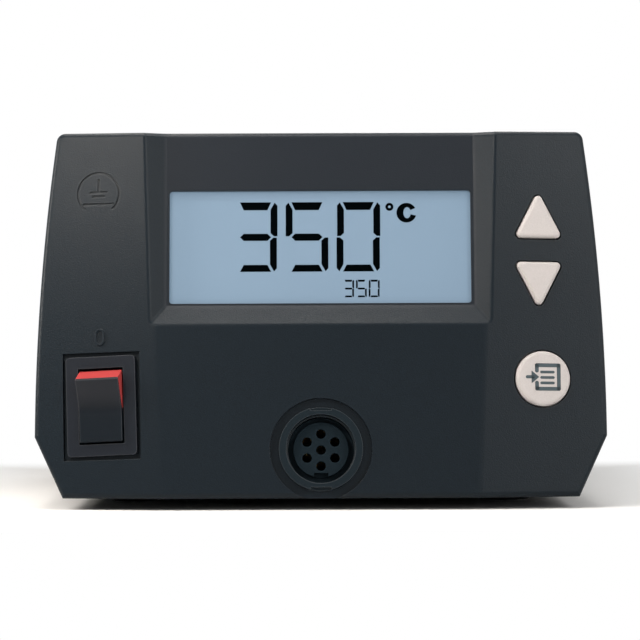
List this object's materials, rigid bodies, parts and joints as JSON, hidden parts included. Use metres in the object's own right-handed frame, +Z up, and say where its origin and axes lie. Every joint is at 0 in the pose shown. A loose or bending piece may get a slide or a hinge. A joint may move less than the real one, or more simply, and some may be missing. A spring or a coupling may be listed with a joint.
{
  "type": "soldering iron station",
  "caption": "Soldering station control unit: leaning three-facet front with a display pocket, arrow and menu keys, rocker power switch and round tool socket.",
  "frame": {"origin": "middle of the unit's box, on the surface that it stands on", "axes": "+Z up; the front with its display faces -Y; +X to the right of someone facing the front"},
  "size_m": [0.125, 0.15, 0.0825],
  "materials": {
    "housing_plastic": "fine-grained moulding",
    "fascia_plastic": "fine-grained moulding",
    "panel_plastic": "fine-grained moulding",
    "key_plastic": "satin",
    "rocker_black": "satin",
    "rocker_red": "gloss",
    "switch_black": "satin",
    "display_glass": "anti-glare",
    "backlight": "diffusing",
    "circuit_board": "solder resist",
    "chip_black": "moulded",
    "screw_steel": "zinc plated",
    "spring_steel": "plain",
    "socket_black": "satin",
    "insert_black": "satin",
    "contact_brass": "plated",
    "core_steel": "varnished laminations",
    "bobbin_plastic": "moulded",
    "winding_wire": "enamelled",
    "bracket_steel": "zinc plated",
    "heat_sink_aluminium": "extruded",
    "capacitor_sleeve": "sleeved",
    "terminal_green": "moulded",
    "foot_rubber": "matte",
    "inlet_black": "moulded",
    "fuse_glass": "clear",
    "bond_metal": "nickel plated",
    "lead_sleeve": "PVC"
  },
  "bodies": {
    "housing": {"front_fascia": "fascia_plastic", "top_cover": "housing_plastic", "base_tray": "housing_plastic", "rear_panel": "panel_plastic", "foot_front_left": "foot_rubber", "foot_front_right": "foot_rubber", "foot_rear_left": "foot_rubber", "foot_rear_right": "foot_rubber", "case_screws": "screw_steel", "display_glass": "display_glass", "backlight_panel": "backlight", "display_frame": "chip_black", "display_board": "circuit_board", "microcontroller": "chip_black", "display_board_screws": "screw_steel", "button_board": "circuit_board", "button_board_screws": "screw_steel", "up_switch": "chip_black", "down_switch": "chip_black", "menu_switch": "chip_black", "switch_body": "switch_black", "switch_terminals": "contact_brass", "socket_shell": "socket_black", "socket_insert": "insert_black", "socket_contacts": "contact_brass", "socket_clip": "spring_steel", "mains_inlet": "inlet_black", "inlet_pins": "bond_metal", "inlet_screws": "screw_steel", "bonding_socket": "bond_metal", "bonding_nut": "bond_metal", "transformer_core": "core_steel", "transformer_bobbin": "bobbin_plastic", "primary_winding": "winding_wire", "secondary_winding": "winding_wire", "transformer_bracket": "bracket_steel", "transformer_screws": "screw_steel", "power_board": "circuit_board", "power_board_screws": "screw_steel", "terminal_block": "terminal_green", "board_connector": "bobbin_plastic", "heat_sink": "heat_sink_aluminium", "triac": "chip_black", "capacitors": "capacitor_sleeve", "supply_lead": "lead_sleeve", "primary_lead": "lead_sleeve", "secondary_lead": "lead_sleeve", "socket_loom": "lead_sleeve"},
    "rocker": {"rocker_face": "rocker_black", "rocker_core": "rocker_red"},
    "up_key": {"up_button": "key_plastic", "up_plunger": "chip_black"},
    "down_key": {"down_button": "key_plastic", "down_plunger": "chip_black"},
    "menu_key": {"menu_button": "key_plastic", "menu_plunger": "chip_black"},
    "fuse_holder": {"fuse_drawer": "inlet_black", "fuse_cartridges": "fuse_glass"}
  },
  "joints": [
    {"name": "rocker_tilt", "type": "hinge", "parent": "housing", "child": "rocker", "pos_m": [-0.04741, -0.0678, 0.02228], "axis": [-0.9886, 0.1421, -0.0506], "range_deg": [0, 28]},
    {"name": "up_press", "type": "slide", "parent": "housing", "child": "up_key", "axis": [-0.1476, 0.9804, -0.1302], "range_m": [0, 0.0008], "stiffness_N_per_m": 1500},
    {"name": "down_press", "type": "slide", "parent": "housing", "child": "down_key", "axis": [-0.1476, 0.9804, -0.1302], "range_m": [0, 0.0008], "stiffness_N_per_m": 1500},
    {"name": "menu_press", "type": "slide", "parent": "housing", "child": "menu_key", "axis": [-0.1476, 0.9804, -0.1302], "range_m": [0, 0.0008], "stiffness_N_per_m": 1500},
    {"name": "fuse_drawer_slide", "type": "slide", "parent": "housing", "child": "fuse_holder", "axis": [0, 1, 0], "range_m": [0, 0.016]}
  ]
}
